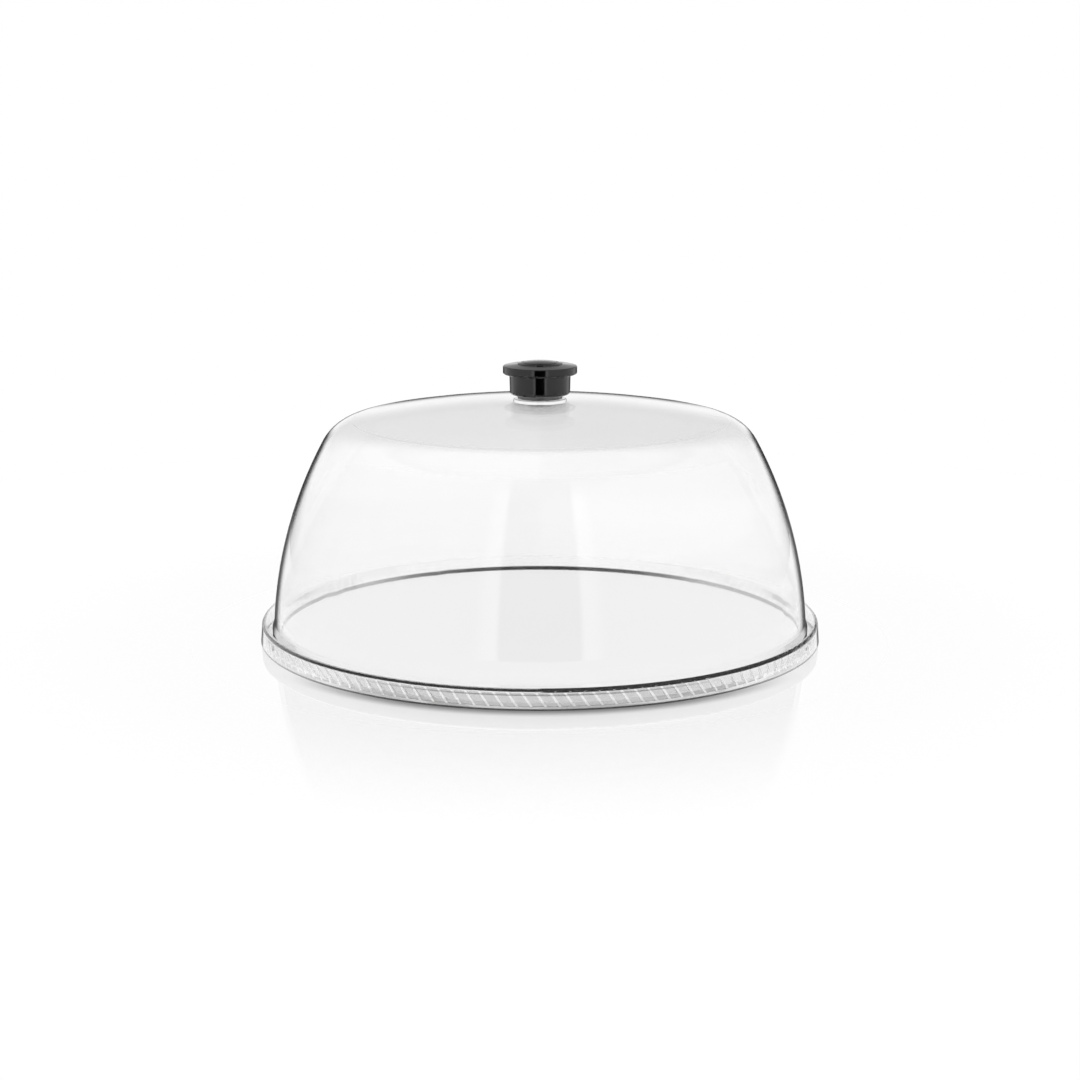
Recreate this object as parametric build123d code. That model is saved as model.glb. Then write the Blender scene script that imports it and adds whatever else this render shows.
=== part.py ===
from build123d import *

import os
from math import asin, cos, degrees, pi, radians, sin

# A round food cover: a clear moulded dome with a black knob, standing in the rim of a clear serving tray.
# Millimetres, +Z up. The origin is the centre of the tray's foot, on the surface that the tray stands on.

# Serving tray
FLOOR_UNDERSIDE = 0.8
FLOOR_THICKNESS = 2.5
RIM_HEIGHT = 12.1
RIM_WALL = 1.8
CREST_WIDTH = 2.7
SKIRT_DRAFT = 0.9
CREST_OUTER_ROUND = 2.1
CREST_INNER_ROUND = 0.45
SEAT_FLARE = 3.1

# Slanted ribs in the channel under the tray's rim
RIB_PITCH = 8.05
RIB_THICKNESS = 1.3
RIB_SLANT = 35.0
RIB_RECESS = 2.0
RIB_ROOT = 0.3

# Dome
DOME_FOOT_RADIUS = 167.0
DOME_WALL = 3.0
WALL_HEIGHT = 120.3
WALL_ARC_RADIUS = 264.0
WALL_LEAN_AT_FOOT = 1.5
SHOULDER_RADIUS = 26.5
CROWN_EDGE_SLOPE = 10.6
FOOT_BEAD = 0.8
FOOT_BEAD_HEIGHT = 5.0
FOOT_BEAD_RUN_OUT = 4.0
SEAT_CLEARANCE = 0.5

# Boss on the crown that carries the knob
BOSS_RADIUS = 16.4
BOSS_RISE = 1.9
BOSS_ROUND = 0.8
POST_RADIUS = 6.0
POST_HEIGHT = 8.0
POST_LEAD_IN = 0.6
POST_SINK = 0.5

# Knob
GASKET_SETBACK = 5.1
GASKET_THICKNESS = 2.4
KNOB_RADIUS = 18.9
KNOB_HEIGHT = 12.6
KNOB_WALL = 2.2
KNOB_FLOOR = 2.4
KNOB_WAIST = 0.35
KNOB_FOOT_ROUND = 1.8
TOWER_WALL = 2.2
TOWER_WEB = 2.4
POST_CLEARANCE = 0.15
KNOB_RIB_COUNT = 6
KNOB_RIB_THICKNESS = 1.4
KNOB_RIB_DROP = 6.0

# Knob cap, with a plain domed centre
CAP_OVERHANG = 4.0
CAP_EDGE_HEIGHT = 5.1
CAP_CROWN_RISE = 1.0
CAP_WALL = 2.4
CAP_TOP_ROUND = 0.7
CAP_BOTTOM_ROUND = 1.2
CENTRE_RADIUS = 13.8
CENTRE_STEP = 0.6
CENTRE_RISE = 2.0
GROOVE_RADIUS = 10.8
GROOVE_WIDTH = 0.8
GROOVE_DEPTH = 0.35
SNAP_CLEARANCE = 0.25
SNAP_WALL = 1.3
SNAP_DEPTH = 3.4
SNAP_BEAD = 0.35
SNAP_BEAD_HEIGHT = 1.0
SNAP_SLOT_COUNT = 4
SNAP_SLOT_WIDTH = 3.0

# Fixing screw and washer
SCREW_RADIUS = 1.9
SCREW_LENGTH = 9.0
SCREW_TIP = 1.2
SCREW_HEAD_RADIUS = 3.7
SCREW_HEAD_HEIGHT = 2.4
SCREW_HEAD_ROUND = 0.9
RECESS_WIDTH = 0.9
RECESS_SPAN = 3.4
RECESS_DEPTH = 1.2
PILOT_CLEARANCE = 0.06
PILOT_EXTRA_DEPTH = 0.8
WASHER_RADIUS = 4.6
WASHER_THICKNESS = 0.8
SCREW_CLEARANCE = 0.3

# Overlap that lets two bodies of one moulding fuse
FUSE_OVERLAP = 0.2

# The tray's rim is laid out from the dome that it holds.
FLOOR_TOP = FLOOR_UNDERSIDE + FLOOR_THICKNESS
BEAD_RADIUS = DOME_FOOT_RADIUS + FOOT_BEAD
SEAT_RADIUS = BEAD_RADIUS + SEAT_CLEARANCE
TRAY_RADIUS = SEAT_RADIUS + SEAT_FLARE + CREST_WIDTH + SKIRT_DRAFT
RIB_COUNT = int(2 * pi * TRAY_RADIUS / RIB_PITCH)


def on_arc(centre, radius, angle):
    """The point of a circle at an angle in degrees, in the plane of radius and height."""
    return (centre[0] + radius * cos(radians(angle)), centre[1] + radius * sin(radians(angle)))


# The dome's outline is three arcs that run into each other: wall, shoulder and crown.
WALL_CENTRE = on_arc((DOME_FOOT_RADIUS, FLOOR_TOP), -WALL_ARC_RADIUS, WALL_LEAN_AT_FOOT)
WALL_LEAN_AT_SHOULDER = degrees(asin((FLOOR_TOP + WALL_HEIGHT - WALL_CENTRE[1]) / WALL_ARC_RADIUS))
SHOULDER_CENTRE = on_arc(WALL_CENTRE, WALL_ARC_RADIUS - SHOULDER_RADIUS, WALL_LEAN_AT_SHOULDER)
CROWN_EDGE_ANGLE = 90.0 - CROWN_EDGE_SLOPE
CROWN_RADIUS = SHOULDER_RADIUS + SHOULDER_CENTRE[0] / cos(radians(CROWN_EDGE_ANGLE))
CROWN_CENTRE = (0.0, SHOULDER_CENTRE[1] - (CROWN_RADIUS - SHOULDER_RADIUS) * sin(radians(CROWN_EDGE_ANGLE)))
CROWN_TOP = CROWN_CENTRE[1] + CROWN_RADIUS

# The knob's pieces stack up from the boss.
BOSS_TOP = CROWN_TOP + BOSS_RISE
POST_TOP = BOSS_TOP + POST_HEIGHT
KNOB_FOOT = BOSS_TOP + GASKET_THICKNESS
KNOB_TOP = KNOB_FOOT + KNOB_HEIGHT
TOWER_TOP = POST_TOP + TOWER_WEB
WASHER_TOP = TOWER_TOP + WASHER_THICKNESS
CAP_TOP = KNOB_TOP + CAP_EDGE_HEIGHT + CAP_CROWN_RISE
KNOB_BORE = KNOB_RADIUS - KNOB_WALL
TOWER_BORE = POST_RADIUS + POST_CLEARANCE
GASKET_RADIUS = KNOB_RADIUS - GASKET_SETBACK
CAP_RADIUS = KNOB_RADIUS + CAP_OVERHANG


def turned(*edges):
    """A solid of revolution about Z, from a closed outline of edges in radius and height."""
    return revolve(Plane.XZ * make_face(Curve() + list(edges)), Axis.Z)


def turned_polygon(*points):
    """A solid of revolution about Z, from a closed outline of straight lines."""
    return turned(Polyline(*points, close=True))


def ring(inner, outer, low, high):
    """A plain ring or disc between two heights."""
    body = Pos(0, 0, low) * Cylinder(outer, high - low, align=(Align.CENTER, Align.CENTER, Align.MIN))
    if inner > 0:
        body -= Pos(0, 0, low) * Cylinder(inner, high - low, align=(Align.CENTER, Align.CENTER, Align.MIN))
    return body


def round_edges(body, radius, *places):
    """Rounds the circular edges that lie at the given pairs of radius and height."""
    found = [
        edge
        for edge in body.edges().filter_by(GeomType.CIRCLE)
        for edge_radius, height in places
        if abs(edge.radius - edge_radius) < 0.01 and abs(edge.center().Z - height) < 0.01
    ]
    return fillet(found, radius)


def dome_arcs(inset, foot_angle):
    """The dome's outline from foot to crown, moved inwards by inset."""
    return [
        CenterArc(WALL_CENTRE, WALL_ARC_RADIUS - inset, foot_angle, WALL_LEAN_AT_SHOULDER - foot_angle),
        CenterArc(SHOULDER_CENTRE, SHOULDER_RADIUS - inset, WALL_LEAN_AT_SHOULDER,
                  CROWN_EDGE_ANGLE - WALL_LEAN_AT_SHOULDER),
        CenterArc(CROWN_CENTRE, CROWN_RADIUS - inset, CROWN_EDGE_ANGLE, CROWN_EDGE_SLOPE),
    ]


def make_dome_shell():
    """Dome, foot bead, boss and screw post: one clear moulding."""
    inner_arc = WALL_ARC_RADIUS - DOME_WALL
    inner_foot_angle = degrees(asin((FLOOR_TOP - WALL_CENTRE[1]) / inner_arc))
    inner_foot = on_arc(WALL_CENTRE, inner_arc, inner_foot_angle)
    shell = turned(
        *dome_arcs(0.0, WALL_LEAN_AT_FOOT),
        *dome_arcs(DOME_WALL, inner_foot_angle),
        Line((DOME_FOOT_RADIUS, FLOOR_TOP), inner_foot),
        Line((0, CROWN_TOP), (0, CROWN_TOP - DOME_WALL)),
    )
    run_out_height = FLOOR_TOP + FOOT_BEAD_HEIGHT + FOOT_BEAD_RUN_OUT
    run_out_angle = degrees(asin((run_out_height - WALL_CENTRE[1]) / WALL_ARC_RADIUS))
    run_out = on_arc(WALL_CENTRE, WALL_ARC_RADIUS, run_out_angle)
    bead_root = run_out[0] - DOME_WALL / 2
    shell += turned_polygon(
        (bead_root, FLOOR_TOP),
        (BEAD_RADIUS, FLOOR_TOP),
        (BEAD_RADIUS, FLOOR_TOP + FOOT_BEAD_HEIGHT),
        run_out,
        (bead_root, run_out_height),
    )
    boss = ring(0, BOSS_RADIUS, CROWN_TOP - DOME_WALL / 2, BOSS_TOP)
    shell += round_edges(boss, BOSS_ROUND, (BOSS_RADIUS, BOSS_TOP))
    post = ring(0, POST_RADIUS, BOSS_TOP - POST_SINK, POST_TOP)
    shell += chamfer(post.edges().group_by(Axis.Z)[-1], POST_LEAD_IN)
    pilot_depth = SCREW_LENGTH - TOWER_WEB - WASHER_THICKNESS + PILOT_EXTRA_DEPTH
    return shell - ring(0, SCREW_RADIUS + PILOT_CLEARANCE, POST_TOP - pilot_depth, POST_TOP)


def seat_wall(height, offset=0.0):
    """Radius of the rim's sloping inner wall at a height, moved outwards by offset."""
    rise = RIM_HEIGHT - FLOOR_TOP
    slope_length = (rise**2 + SEAT_FLARE**2) ** 0.5
    return SEAT_RADIUS + SEAT_FLARE * (height - FLOOR_TOP) / rise + offset * slope_length / rise


def skirt_face(height, offset=0.0):
    """Radius of the skirt's outer face at a height, moved inwards by offset."""
    return TRAY_RADIUS - SKIRT_DRAFT * height / RIM_HEIGHT - offset


def channel_peak(offset):
    """Height at which the channel's two walls meet, each a wall thickness from the outside."""
    gap_at_foot = skirt_face(0, offset) - seat_wall(0, offset)
    gap_at_crest = skirt_face(RIM_HEIGHT, offset) - seat_wall(RIM_HEIGHT, offset)
    return RIM_HEIGHT * gap_at_foot / (gap_at_foot - gap_at_crest)


def make_rib():
    """One slanted rib that fills the channel between the rim's inner wall and the skirt."""
    wall = RIM_WALL - RIB_ROOT
    peak = channel_peak(wall)
    channel = turned_polygon(
        (seat_wall(RIB_RECESS, wall), RIB_RECESS),
        (skirt_face(RIB_RECESS, wall), RIB_RECESS),
        (skirt_face(peak, wall), peak),
    )
    blade = Rot(RIB_SLANT, 0, 0) * Box(2 * RIM_HEIGHT, RIB_THICKNESS, 4 * RIM_HEIGHT)
    return (channel & Pos(TRAY_RADIUS, 0, (RIB_RECESS + peak) / 2) * blade).solids()[0]


def make_serving_tray():
    """Floor, raised rim with a sloping seat, skirt, and the slanted ribs under the rim."""
    crest = Vector(skirt_face(RIM_HEIGHT), RIM_HEIGHT)
    crest_inner = Vector(seat_wall(RIM_HEIGHT), RIM_HEIGHT)
    peak = channel_peak(RIM_WALL)
    outline = make_face(Polyline(
        (0, FLOOR_UNDERSIDE),
        (seat_wall(FLOOR_UNDERSIDE, RIM_WALL), FLOOR_UNDERSIDE),
        (skirt_face(peak, RIM_WALL), peak),
        (skirt_face(0, RIM_WALL), 0),
        (TRAY_RADIUS, 0),
        crest,
        crest_inner,
        (SEAT_RADIUS, FLOOR_TOP),
        (0, FLOOR_TOP),
        close=True,
    ))
    outline = fillet(outline.vertices().sort_by_distance(crest)[0], CREST_OUTER_ROUND)
    outline = fillet(outline.vertices().sort_by_distance(crest_inner)[0], CREST_INNER_ROUND)
    tray = revolve(Plane.XZ * outline, Axis.Z)
    rib = make_rib()
    return tray.fuse(*[Rot(0, 0, 360 / RIB_COUNT * number) * rib for number in range(RIB_COUNT)])


def make_knob_gasket():
    """Soft ring between the boss and the knob."""
    return ring(TOWER_BORE, GASKET_RADIUS, BOSS_TOP, KNOB_FOOT)


def make_knob_body():
    """Cup that stands on the gasket, with a tower over the dome's post and a groove for the cap."""
    waist = KNOB_RADIUS - KNOB_WAIST
    outline = make_face(Polyline(
        (TOWER_BORE, KNOB_FOOT),
        (waist, KNOB_FOOT),
        (KNOB_RADIUS, KNOB_TOP),
        (KNOB_BORE, KNOB_TOP),
        (KNOB_BORE, KNOB_FOOT + KNOB_FLOOR),
        (TOWER_BORE, KNOB_FOOT + KNOB_FLOOR),
        close=True,
    ))
    outline = fillet(outline.vertices().sort_by_distance(Vector(waist, KNOB_FOOT))[0], KNOB_FOOT_ROUND)
    body = revolve(Plane.XZ * outline, Axis.Z)
    tower_outer = TOWER_BORE + TOWER_WALL
    body += ring(TOWER_BORE, tower_outer, KNOB_FOOT, POST_TOP)
    body += ring(SCREW_RADIUS + SCREW_CLEARANCE, tower_outer, POST_TOP, TOWER_TOP)
    rib_top = KNOB_TOP - KNOB_RIB_DROP
    rib_length = KNOB_BORE - tower_outer + 2 * FUSE_OVERLAP
    rib = Box(rib_length, KNOB_RIB_THICKNESS, rib_top - KNOB_FOOT - FUSE_OVERLAP,
              align=(Align.MIN, Align.CENTER, Align.MIN))
    rib = Pos(tower_outer - FUSE_OVERLAP, 0, KNOB_FOOT + FUSE_OVERLAP) * rib
    body = body.fuse(*[Rot(0, 0, 360 / KNOB_RIB_COUNT * number) * rib for number in range(KNOB_RIB_COUNT)])
    groove_low = KNOB_TOP - SNAP_DEPTH - SNAP_CLEARANCE
    groove_high = groove_low + SNAP_BEAD_HEIGHT + 2 * SNAP_CLEARANCE
    return body - ring(0, KNOB_BORE + SNAP_BEAD + FUSE_OVERLAP, groove_low, groove_high)


def make_cap_centre():
    """Low domed disc on the cap, with a shallow ring groove."""
    foot = CAP_TOP - CAP_CROWN_RISE
    edge = CAP_TOP + CENTRE_STEP
    sag = CENTRE_RISE - CENTRE_STEP
    dome_radius = (CENTRE_RADIUS**2 + sag**2) / (2 * sag)
    half_angle = degrees(asin(CENTRE_RADIUS / dome_radius))
    centre = turned(
        Polyline((0, edge + sag), (0, foot), (CENTRE_RADIUS, foot), (CENTRE_RADIUS, edge)),
        CenterArc((0, edge + sag - dome_radius), dome_radius, 90 - half_angle, half_angle),
    )
    groove_floor = edge + sag - dome_radius + (dome_radius**2 - GROOVE_RADIUS**2) ** 0.5 - GROOVE_DEPTH
    return centre - ring(GROOVE_RADIUS - GROOVE_WIDTH / 2, GROOVE_RADIUS + GROOVE_WIDTH / 2,
                         groove_floor, edge + sag)


def make_knob_cap():
    """Overhanging disc with a domed centre, and snap fingers that hold it in the knob's cup."""
    edge_top = KNOB_TOP + CAP_EDGE_HEIGHT
    disc = turned_polygon(
        (0, KNOB_TOP),
        (CAP_RADIUS, KNOB_TOP),
        (CAP_RADIUS, edge_top),
        (CENTRE_RADIUS, CAP_TOP),
        (0, CAP_TOP),
    )
    disc = round_edges(disc, CAP_TOP_ROUND, (CAP_RADIUS, edge_top))
    disc = round_edges(disc, CAP_BOTTOM_ROUND, (CAP_RADIUS, KNOB_TOP))
    disc += make_cap_centre()
    snap_outer = KNOB_BORE - SNAP_CLEARANCE
    snap_inner = snap_outer - SNAP_WALL
    snap_low = KNOB_TOP - SNAP_DEPTH
    disc -= ring(0, snap_inner, KNOB_TOP, edge_top + CAP_CROWN_RISE / 2 - CAP_WALL)
    skirt = turned_polygon(
        (snap_inner, snap_low),
        (snap_outer, snap_low),
        (snap_outer + SNAP_BEAD, snap_low + SNAP_BEAD_HEIGHT / 2),
        (snap_outer, snap_low + SNAP_BEAD_HEIGHT),
        (snap_outer, KNOB_TOP + FUSE_OVERLAP),
        (snap_inner, KNOB_TOP + FUSE_OVERLAP),
    )
    slot = Pos(0, 0, snap_low) * Box(CAP_RADIUS * 2, SNAP_SLOT_WIDTH, SNAP_DEPTH,
                                     align=(Align.CENTER, Align.CENTER, Align.MIN))
    for number in range(SNAP_SLOT_COUNT // 2):
        skirt -= Rot(0, 0, 360 / SNAP_SLOT_COUNT * number) * slot
    return disc.fuse(*skirt.solids())


def make_knob_screw():
    """Self-tapping screw: its head clamps the knob's tower to the dome's post."""
    head_top = WASHER_TOP + SCREW_HEAD_HEIGHT
    tip = WASHER_TOP - SCREW_LENGTH
    screw = round_edges(ring(0, SCREW_HEAD_RADIUS, WASHER_TOP, head_top), SCREW_HEAD_ROUND,
                        (SCREW_HEAD_RADIUS, head_top))
    shank = ring(0, SCREW_RADIUS, tip, WASHER_TOP + FUSE_OVERLAP)
    screw += chamfer(shank.edges().group_by(Axis.Z)[0], SCREW_TIP)
    for angle in (0, 90):
        screw -= Pos(0, 0, head_top) * Rot(0, 0, angle) * Box(
            RECESS_SPAN, RECESS_WIDTH, 2 * RECESS_DEPTH)
    return screw


def make_screw_washer():
    """Plain washer between the screw's head and the tower."""
    return ring(SCREW_RADIUS + SCREW_CLEARANCE, WASHER_RADIUS, TOWER_TOP, WASHER_TOP)


PARTS = {
    "dome_shell": make_dome_shell,
    "serving_tray": make_serving_tray,
    "knob_gasket": make_knob_gasket,
    "knob_body": make_knob_body,
    "knob_cap": make_knob_cap,
    "knob_screw": make_knob_screw,
    "screw_washer": make_screw_washer,
}

os.makedirs("parts", exist_ok=True)
for node, make in PARTS.items():
    export_step(make(), f"parts/{node}.step")
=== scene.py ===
from math import atan, cos, pi, radians, sin

import bpy
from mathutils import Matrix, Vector


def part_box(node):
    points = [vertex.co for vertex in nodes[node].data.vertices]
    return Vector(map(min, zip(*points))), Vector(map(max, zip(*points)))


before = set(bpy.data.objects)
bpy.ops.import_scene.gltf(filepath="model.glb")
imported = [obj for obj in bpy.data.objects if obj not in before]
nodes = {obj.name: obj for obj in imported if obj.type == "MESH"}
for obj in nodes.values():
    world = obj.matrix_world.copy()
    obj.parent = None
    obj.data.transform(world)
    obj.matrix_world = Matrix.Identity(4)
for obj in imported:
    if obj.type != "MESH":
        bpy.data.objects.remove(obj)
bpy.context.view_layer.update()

# Lengths are in metres and angles in degrees, unless a name says otherwise.
# A smooth step is written (from, to), which goes from 0 to 1, or (from, to, value at from, value at to).

# The photograph's camera, as fitted to the rim's ellipses. Pixels are those of its square frame.
FRAME_PIXELS = 1080.0
FOCAL_PIXELS = 2195.0
ORIGIN_ROW = 632.2
SENSOR_MM = 36.0
CAMERA_DISTANCE = 1.390
CAMERA_ELEVATION = 14.45
CLIP_START = 0.01

# Where the pieces are, from the frame.
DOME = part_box("dome_shell")
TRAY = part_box("serving_tray")
DOME_FOOT = DOME[0].z
RIM_TOP = TRAY[1].z
RIM_RADIUS = TRAY[1].x


def camera():
    """The photograph's viewpoint, aimed a little above the tray's foot."""
    elevation = radians(CAMERA_ELEVATION)
    down = (ORIGIN_ROW - FRAME_PIXELS / 2) / FOCAL_PIXELS
    look = elevation - atan(down)
    data = bpy.data.cameras.new("camera")
    data.lens = FOCAL_PIXELS / FRAME_PIXELS * SENSOR_MM
    data.sensor_width = SENSOR_MM
    data.clip_start = CLIP_START
    made = bpy.data.objects.new("camera", data)
    made.location = CAMERA_DISTANCE * Vector((0, -cos(elevation), sin(elevation)))
    made.rotation_euler = (pi / 2 - look, 0, 0)
    bpy.context.scene.collection.objects.link(made)
    bpy.context.scene.camera = made


def grey(tone):
    """A colour of equal red, green and blue."""
    return (tone, tone, tone, 1)


class Shader:
    """A node tree, with short calls that each add a node and return the socket of its result."""

    def __init__(self, owner):
        owner.use_nodes = True
        self.tree = owner.node_tree
        self.tree.nodes.clear()

    def put(self, socket, value):
        """Links an input to another node's result, or sets its constant."""
        if isinstance(value, bpy.types.NodeSocket):
            self.tree.links.new(value, socket)
        else:
            socket.default_value = value

    def add(self, kind, inputs=(), **settings):
        """Adds a node, with its inputs as pairs of name or number and value, and returns its outputs."""
        made = self.tree.nodes.new(kind)
        for name, value in settings.items():
            setattr(made, name, value)
        for key, value in inputs:
            self.put(made.inputs[key], value)
        return made.outputs

    def math(self, operation, *values):
        """One operation on one or two values."""
        return self.add("ShaderNodeMath", enumerate(values), operation=operation)[0]

    def times(self, first, *others):
        """The product of the values."""
        for other in others:
            first = self.math("MULTIPLY", first, other)
        return first

    def most(self, first, *others):
        """The largest of the values."""
        for other in others:
            first = self.math("MAXIMUM", first, other)
        return first

    def rest(self, value):
        """What is missing from the value to 1."""
        return self.math("SUBTRACT", 1.0, value)

    def above(self, value, limit):
        """1 where the value is above the limit, and 0 elsewhere."""
        return self.math("GREATER_THAN", value, limit)

    def below(self, value, limit):
        """1 where the value is below the limit, and 0 elsewhere."""
        return self.math("LESS_THAN", value, limit)

    def some(self, count):
        """1 where a ray's count of bounces is 1 or more, and 0 elsewhere."""
        return self.above(count, 0.5)

    def ramp(self, value, low, high, at_low=0.0, at_high=1.0):
        """A smooth step, from at_low where the value is low to at_high where it is high."""
        inputs = {"Value": value, "From Min": low, "From Max": high, "To Min": at_low, "To Max": at_high}
        return self.add("ShaderNodeMapRange", inputs.items(), interpolation_type="SMOOTHSTEP")[0]

    def mix(self, factor, first, second):
        """The first value where the factor is 0, and the second where it is 1."""
        inputs = {"Factor": factor, "A": first, "B": second}
        return self.add("ShaderNodeMix", inputs.items(), data_type="FLOAT")[0]

    def split(self, vector):
        """A vector's x, y and z."""
        return self.add("ShaderNodeSeparateXYZ", [(0, vector)])

    def place(self):
        """A point's place in the object's frame."""
        return self.add("ShaderNodeTexCoord")["Object"]

    def radius(self, x, y):
        """The distance from the Z axis."""
        return self.math("SQRT", self.math("ADD", self.math("POWER", x, 2.0), self.math("POWER", y, 2.0)))

    def noise(self, scale, detail):
        """Soft noise, with about scale spots to a metre."""
        inputs = {"Vector": self.place(), "Scale": scale, "Detail": detail}
        return self.add("ShaderNodeTexNoise", inputs.items())["Fac"]

    def bump(self, height, strength, distance):
        """A normal that makes the height show as relief."""
        inputs = {"Height": height, "Strength": strength, "Distance": distance}
        return self.add("ShaderNodeBump", inputs.items())["Normal"]

    def light_path(self):
        """What kind of ray arrives, and its counts of bounces."""
        return self.add("ShaderNodeLightPath")

    def varied_grey(self, tone):
        """A grey colour whose tone is another node's result."""
        return self.add("ShaderNodeCombineColor", enumerate((tone, tone, tone)))[0]

    def simple(self, kind, tone, **inputs):
        """A shader of one grey tone, such as Diffuse or Transparent."""
        inputs["Color"] = grey(tone)
        return self.add("ShaderNodeBsdf" + kind, inputs.items())[0]

    def principled(self, **inputs):
        """The general shader, with its inputs by name, where _ stands for a space."""
        pairs = [(name.replace("_", " "), value) for name, value in inputs.items()]
        return self.add("ShaderNodeBsdfPrincipled", pairs)[0]

    def blend(self, factor, first, second):
        """The first shader where the factor is 0, and the second where it is 1."""
        return self.add("ShaderNodeMixShader", enumerate((factor, first, second)))[0]

    def surface(self, shader, kind="Material"):
        """Shows the shader on the material, or on the world."""
        self.add("ShaderNodeOutput" + kind, [("Surface", shader)])


def new_material(name):
    """An empty material and the calls that fill it."""
    made = bpy.data.materials.new(name)
    return made, Shader(made)


def dress(node, material):
    """Gives every face of a CAD node one material."""
    for slot in nodes[node].material_slots:
        slot.material = material


# With this blend, facing is 1 minus the cosine of the angle between the ray and the normal.
COSINE_BLEND = 0.5
# A face is steep where its normal rises or falls less than this.
STEEP_RISE = (0.85, 0.6)


class Face:
    """The face that a ray meets on a piece that is round about Z.

    The normal is on the side that the ray comes from. Facing is 0 where the face is seen straight on and
    1 where it is seen edge-on. Rise is how far the normal points up, and outward how far it points away
    from the axis. Entering is 1 where the ray goes into the solid, and leaving where it comes out. Outer is 1
    where the ray enters through a face that points away from the axis.
    """

    def __init__(self, s):
        self.facing = s.add("ShaderNodeLayerWeight", [("Blend", COSINE_BLEND)])["Facing"]
        geometry = s.add("ShaderNodeNewGeometry")
        normal_x, normal_y, self.rise = s.split(geometry["Normal"])
        x, y, self.height = s.split(s.place())
        self.radius = s.radius(x, y)
        along = s.math("ADD", s.times(x, normal_x), s.times(y, normal_y))
        self.outward = s.math("DIVIDE", along, self.radius)
        self.steep = s.ramp(s.math("ABSOLUTE", self.rise), *STEEP_RISE)
        self.leaving = geometry["Backfacing"]
        self.entering = s.rest(self.leaving)
        self.outer = s.times(s.above(self.outward, 0.0), self.entering)


# Clear plastic. Its tone, darkened towards edge-on faces as painted shade, and the strength of its painted
# dark outlines go by facing, and its roughness by noise.
PLASTIC_IOR = 1.5
CLEAR_SPECULAR = 0.28
CLEAR_TONE_AND_EDGE_SHADE = (0.45, 0.85, 0.99, 0.96)
SCUFF_SCALE = 60.0
SCUFF_DETAIL = 3.0
SCUFF_ROUGHNESS = (0.35, 0.75, 0.02, 0.04)
FLAT_PAINTED_OUTLINE = (0.93, 0.985, 0.0, 0.45)
PAINTED_OUTLINE_TONE = 0.02


def clear_shader(s, face, steep_painted_outline, other_painted_shade):
    """Scuffed clear plastic, with painted shade that darkens it towards the outline of steep outer faces and,
    less, of flat ones.
    """
    scuffs = s.ramp(s.noise(SCUFF_SCALE, SCUFF_DETAIL), *SCUFF_ROUGHNESS)
    # Painted shade: the tint darkens towards faces seen edge-on.
    tint_and_edge_shade = s.varied_grey(s.ramp(face.facing, *CLEAR_TONE_AND_EDGE_SHADE))
    clear = s.principled(Base_Color=tint_and_edge_shade, Roughness=scuffs, IOR=PLASTIC_IOR, Transmission_Weight=1.0,
                         Specular_IOR_Level=CLEAR_SPECULAR)
    # Painted shade: a dark diffuse grey drawn along outlines seen edge-on, and wherever other painted shade is
    # given, standing in for the dark edges that refraction gives.
    on_steep = s.times(s.ramp(face.facing, *steep_painted_outline), face.steep, face.outer)
    on_flat = s.times(s.ramp(face.facing, *FLAT_PAINTED_OUTLINE), s.rest(face.steep), face.entering)
    return s.blend(s.most(on_steep, on_flat, other_painted_shade), clear, s.simple("Diffuse", PAINTED_OUTLINE_TONE))


# Counts of bounces past which a ray passes in another way, below the numbers that the renderer allows.
MOST_BOUNCES = 9.5
MOST_TRANSPARENT = 6.5
UNSEEN_TONE = 0.995
UNSEEN_IOR = 1.004


def let_light_by(s, shader, tone, mirrored_look=None):
    """Shadow, diffuse and spent rays pass straight through. Mirror images show another look or nothing."""
    ray = s.light_path()
    passing = s.simple("Transparent", tone)
    in_mirror = passing if mirrored_look is None else mirrored_look
    shader = s.blend(s.some(ray["Glossy Depth"]), shader, in_mirror)
    spent = s.above(ray["Ray Depth"], MOST_BOUNCES)
    return s.blend(s.most(ray["Is Shadow Ray"], ray["Is Diffuse Ray"], spent), shader, passing)


def straight_through(s):
    """Unseen faces: the first few let light by, and those behind them bend it too little to notice."""
    near = s.simple("Transparent", UNSEEN_TONE)
    far = s.simple("Refraction", UNSEEN_TONE, Roughness=0.0, IOR=UNSEEN_IOR)
    return s.blend(s.above(s.light_path()["Transparent Depth"], MOST_TRANSPARENT), near, far)


# The dome's painted outline, the light that it lets by, and the painted shade line round its foot, by height
# and by facing.
DOME_PAINTED_OUTLINE = (0.77, 0.89, 0.0, 0.9)
DOME_PASSING = 0.97
FOOT_SHADE_HEIGHT = (DOME_FOOT + 0.0030, DOME_FOOT + 0.0024)
FOOT_SHADE_FACING = (0.05, 0.3, 1.0, 0.45)


def dome_plastic():
    """Clear plastic with a painted dark line where the wall's foot gathers the shade of the tray's seat."""
    made, s = new_material("dome_plastic")
    face = Face(s)
    inner = s.times(s.below(face.outward, 0.0), face.entering)
    foot = s.ramp(face.height, *FOOT_SHADE_HEIGHT)
    # Painted shade: a dark line on the inner face just above the foot.
    foot_shade_line = s.times(foot, inner, s.ramp(face.facing, *FOOT_SHADE_FACING))
    s.surface(let_light_by(s, clear_shader(s, face, DOME_PAINTED_OUTLINE, foot_shade_line), DOME_PASSING))
    return made


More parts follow.
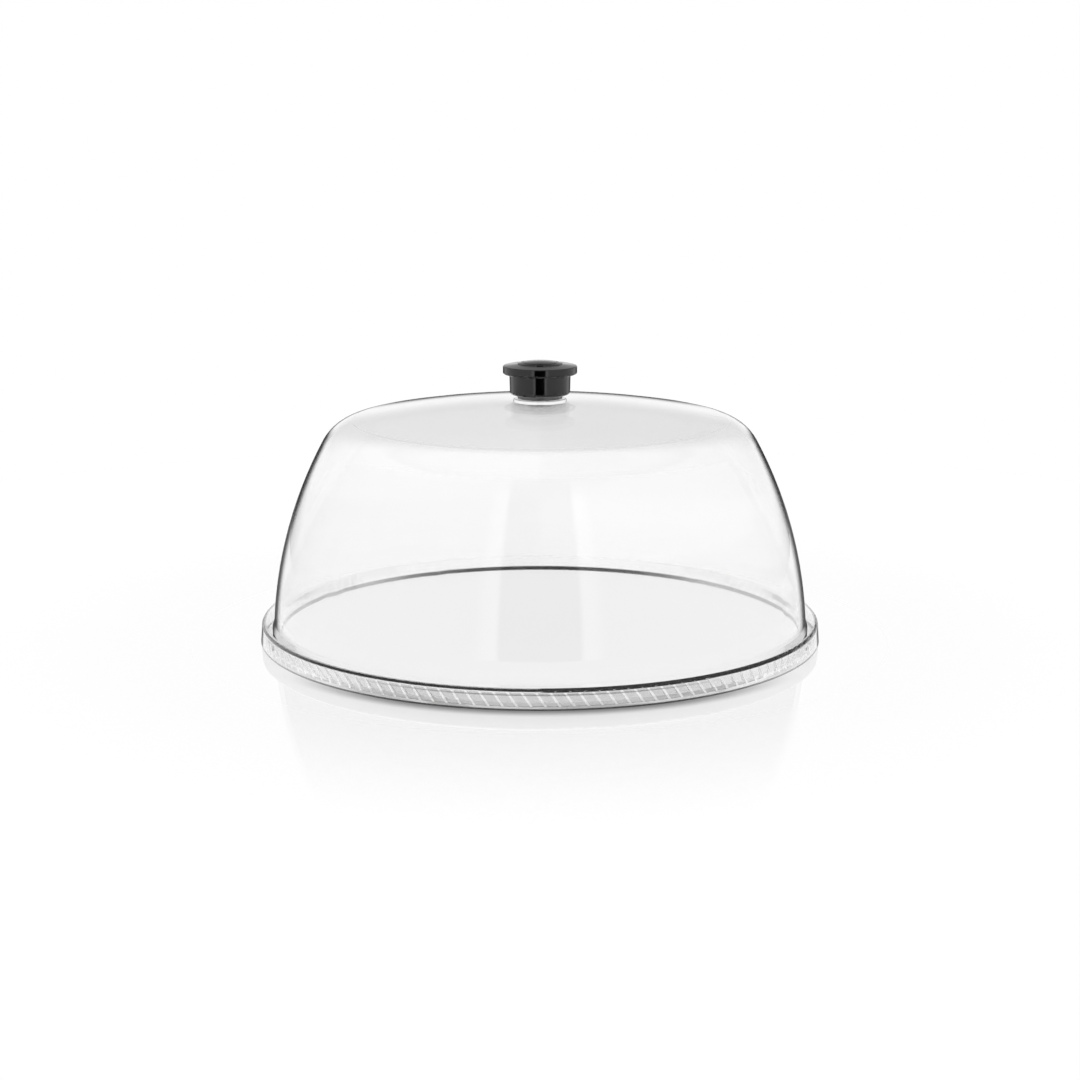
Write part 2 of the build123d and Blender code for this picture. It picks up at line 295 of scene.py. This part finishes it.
# The tray's painted outline, the light that it lets by, and the painted shade lines round its rim.
TRAY_PAINTED_OUTLINE = (0.86, 0.93, 0.0, 0.85)
TRAY_PASSING = 0.96
CREST_FOOT_RISE = (0.15, 0.4)
CREST_TOP_RISE = (0.99, 0.9)
CREST_OUTWARD = 0.1
CREST_FACING = (0.35, 0.8, 0.96, 0.5)
HEM_HEIGHT = (0.0013, 0.0007)
HEM_FACING = (0.1, 0.7, 0.9, 0.35)
RIB_TOPS_FROM = (RIM_TOP - 0.0040, RIM_TOP - 0.0036)
RIB_TOPS_TO = (RIM_TOP - 0.0028, RIM_TOP - 0.0032)
RIB_TOPS_FACING = (0.05, 0.3, 0.45, 0.0)


def rim_shade_lines(s, face):
    """Painted shade: dark lines along the rim's crest, its lower edge and the tops of its ribs."""
    # Painted shade along the crest for the dark table under the tray that it shows, a painted contact shadow
    # along the lower edge, and a painted line at the rib tops.
    crest = s.times(s.ramp(face.rise, *CREST_FOOT_RISE), s.ramp(face.rise, *CREST_TOP_RISE), face.entering,
                    s.above(face.outward, CREST_OUTWARD), s.ramp(face.facing, *CREST_FACING))
    hem_shade = s.times(s.ramp(face.height, *HEM_HEIGHT), face.outer, face.steep, s.ramp(face.facing, *HEM_FACING))
    rib_top_shade = s.times(s.ramp(face.height, *RIB_TOPS_FROM), s.ramp(face.height, *RIB_TOPS_TO), face.outer,
                       s.ramp(face.facing, *RIB_TOPS_FACING))
    return s.most(crest, hem_shade, rib_top_shade)


# The channel under the rim's crest, where the ribs stand, and the inner face of the skirt that closes it.
CHANNEL_TOP = RIM_TOP - 0.0024
CHANNEL_RADIUS = RIM_RADIUS - 0.0062
SKIRT_FACE_FROM = RIM_RADIUS - 0.0028
SKIRT_FACE_TO = RIM_RADIUS - 0.0015
CELL_OUTWARD = 0.8
CELL_FACING = (0.15, 0.06, 0.0, 0.3)
CELL_SHADE_TONE = 0.1
RIB_OUTWARD = 0.4
FAR_SIDE_OUTWARD = -0.1
FAR_SIDE_UNSEEN = 0.9


def rim_plastic(s, face):
    """Clear plastic with its painted shade lines and painted grey shade in the cells between the ribs. Ribs
    and far side hardly show.
    """
    clear = clear_shader(s, face, TRAY_PAINTED_OUTLINE, rim_shade_lines(s, face))
    low = s.below(face.height, CHANNEL_TOP)
    skirt = s.times(s.below(face.radius, SKIRT_FACE_TO), s.above(face.radius, SKIRT_FACE_FROM), low)
    # Painted shade: the skirt's inner face between the ribs is drawn dark grey where a ray leaves through it.
    painted_cell_shade = s.times(skirt, face.leaving, s.above(face.outward, CELL_OUTWARD),
                   s.ramp(face.facing, *CELL_FACING))
    with_cell_shade = s.blend(painted_cell_shade, clear, s.simple("Diffuse", CELL_SHADE_TONE))
    sideways = s.below(s.math("ABSOLUTE", face.outward), RIB_OUTWARD)
    rib = s.times(sideways, low, s.above(face.radius, CHANNEL_RADIUS))
    far_side = s.times(s.below(face.outward, FAR_SIDE_OUTWARD), FAR_SIDE_UNSEEN)
    return s.blend(s.most(rib, far_side), with_cell_shade, straight_through(s))


# The tray's satin floor, which ends just outside the dome's foot, and the tray's look in mirror images.
SATIN_RADIUS = DOME[1].x + 0.0004
SATIN_TONE = 0.9
SATIN_ROUGHNESS = 0.55
GRAIN_SCALE = 900.0
GRAIN_DETAIL = 2.0
GRAIN_STRENGTH = 0.05
GRAIN_HEIGHT = 0.0003
MIRRORED_TONE = 0.93


def tray_plastic():
    """Clear rim and ribs, and a satin floor that the food stands on. Mirror images show it plain."""
    made, s = new_material("tray_plastic")
    face = Face(s)
    grain = s.bump(s.noise(GRAIN_SCALE, GRAIN_DETAIL), GRAIN_STRENGTH, GRAIN_HEIGHT)
    satin = s.principled(Base_Color=grey(SATIN_TONE), Roughness=SATIN_ROUGHNESS, IOR=PLASTIC_IOR,
                         Normal=grain)
    glow = s.simple("Translucent", SATIN_TONE)
    is_satin = s.below(face.radius, SATIN_RADIUS)
    tray = s.blend(is_satin, rim_plastic(s, face), s.blend(face.leaving, satin, glow))
    mirrored = s.blend(face.outer, glow, s.simple("Diffuse", MIRRORED_TONE))
    s.surface(let_light_by(s, tray, TRAY_PASSING, mirrored))
    return made


# Black gloss, and how much of it blurred mirror images leave out.
SMEAR_SCALE = 140.0
SMEAR_DETAIL = 3.0
SMEAR_NOISE = (0.3, 0.8)
SMEAR_ROUGHENING = 2.0
BLURRED_UNSEEN = 0.8


def gloss_black(name, tone, roughness):
    """Black plastic or rubber with smears on its gloss."""
    made, s = new_material(name)
    smeared = roughness * SMEAR_ROUGHENING
    smears = s.ramp(s.noise(SMEAR_SCALE, SMEAR_DETAIL), *SMEAR_NOISE, roughness, smeared)
    gloss = s.principled(Base_Color=grey(tone), Roughness=smears, IOR=PLASTIC_IOR)
    ray = s.light_path()
    blurred = s.math("SUBTRACT", ray["Is Glossy Ray"], ray["Is Singular Ray"])
    s.surface(s.blend(s.times(blurred, BLURRED_UNSEEN), gloss, s.simple("Transparent", 1.0)))
    return made


# Steel, whose roughness goes by noise.
STEEL_TONE = 0.6
BRUSH_SCALE = 400.0
BRUSH_DETAIL = 2.0
BRUSH_ROUGHNESS = (0.3, 0.7, 0.25, 0.4)


def steel(name):
    """Steel, rougher in some spots than in others."""
    made, s = new_material(name)
    brushed = s.ramp(s.noise(BRUSH_SCALE, BRUSH_DETAIL), *BRUSH_ROUGHNESS)
    s.surface(s.principled(Base_Color=grey(STEEL_TONE), Metallic=1.0, Roughness=brushed))
    return made


# The surround that the plastic mirrors, in strengths of white. Height is the angle above the horizon, and turn
# the angle from the direction behind the cover, so that it is 180 on the camera's side.
HORIZON_END_HEIGHT = (3.0, 12.0)
SKY_HEIGHT = (12.0, 30.0, 0.5, 0.15)
GROUND_HEIGHT = (-4.0, 2.0, 0.05, 1.0)
BEHIND_END_TURN = (20.0, 50.0)
PANEL_TURN = (164.0, 161.0)
PANEL_HEIGHT = (46.0, 40.0, 0.3, 1.0)
PANEL_GLARE_TURN = (152.0, 157.0, 1.0, 1.6)
CEILING_HEIGHT = (40.0, 60.0)
CEILING_STRENGTH = 0.9
INSIDE_STRENGTH = 0.92
CLEAR_VIEW_STRENGTH = 1.0
DIFFUSE_STRENGTH = 1.1


def studio():
    """A white surround, with side panels and dark gaps that only the mirror images in the plastic show."""
    world = bpy.data.worlds.new("studio")
    bpy.context.scene.world = world
    s = Shader(world)
    x, y, z = s.split(s.add("ShaderNodeTexCoord")["Generated"])
    height = s.math("DEGREES", s.math("ARCSINE", z))
    turn = s.math("DEGREES", s.math("ABSOLUTE", s.math("ARCTAN2", x, y)))
    sky = s.mix(s.ramp(height, *HORIZON_END_HEIGHT), 1.0, s.ramp(height, *SKY_HEIGHT))
    behind = s.times(s.ramp(height, *GROUND_HEIGHT), sky)
    panel = s.times(s.ramp(turn, *PANEL_TURN), s.ramp(height, *PANEL_HEIGHT))
    panel = s.times(panel, s.ramp(turn, *PANEL_GLARE_TURN))
    mirrored = s.mix(s.ramp(turn, *BEHIND_END_TURN), behind, panel)
    mirrored = s.mix(s.ramp(height, *CEILING_HEIGHT), mirrored, CEILING_STRENGTH)
    ray = s.light_path()
    strength = s.mix(ray["Is Glossy Ray"], CLEAR_VIEW_STRENGTH, mirrored)
    strength = s.mix(s.some(ray["Transmission Depth"]), strength, INSIDE_STRENGTH)
    for kind in ("Is Singular Ray", "Is Transmission Ray", "Is Camera Ray"):
        strength = s.mix(ray[kind], strength, CLEAR_VIEW_STRENGTH)
    strength = s.mix(ray["Is Diffuse Ray"], strength, DIFFUSE_STRENGTH)
    white = s.add("ShaderNodeBackground", [("Color", grey(1.0)), ("Strength", strength)])[0]
    s.surface(white, "World")


# The table top: matt, with gloss that fades outwards from under the tray, and a painted shadow at the tray's
# front.
TABLE_RADIUS = 0.7
TABLE_CORNERS = 96
TABLE_TONE = 0.93
GLOSS_RADIUS = (0.38, 0.17, 0.0, 0.85)
PAINTED_SHADOW_TONE = 0.05
PAINTED_SHADOW_RADIUS = (RIM_RADIUS + 0.013, RIM_RADIUS, 0.0, 0.7)
PAINTED_SHADOW_FROM_RADIUS = RIM_RADIUS - 0.001
PAINTED_SHADOW_Y = (-0.09, -0.17)


def table_top():
    """A white table top, glossy close to the tray, with a soft painted shadow along the tray's front."""
    bpy.ops.mesh.primitive_circle_add(vertices=TABLE_CORNERS, radius=TABLE_RADIUS, fill_type="NGON",
                                      location=(0, 0, 0))
    made = bpy.context.object
    made.name = "table_top"
    material, s = new_material("table_top")
    x, y, _ = s.split(s.place())
    radius = s.radius(x, y)
    gloss = s.simple("Glossy", 1.0, Roughness=0.0)
    table = s.blend(s.ramp(radius, *GLOSS_RADIUS), s.simple("Diffuse", TABLE_TONE), gloss)
    # Painted shadow: a dark grey band on the table just outside the tray's front.
    shade = s.times(s.ramp(radius, *PAINTED_SHADOW_RADIUS), s.above(radius, PAINTED_SHADOW_FROM_RADIUS), s.ramp(y, *PAINTED_SHADOW_Y))
    s.surface(s.blend(shade, table, s.simple("Diffuse", PAINTED_SHADOW_TONE)))
    made.data.materials.append(material)


camera()
studio()
table_top()
dress("dome_shell", dome_plastic())
dress("serving_tray", tray_plastic())
dress("knob_gasket", gloss_black("gasket_rubber", tone=0.09, roughness=0.15))
dress("knob_body", gloss_black("knob_plastic", tone=0.001, roughness=0.06))
dress("knob_cap", gloss_black("cap_plastic", tone=0.001, roughness=0.06))
dress("knob_screw", steel("screw_steel"))
dress("screw_washer", steel("washer_steel"))

bpy.context.scene.view_settings.view_transform = "Standard"
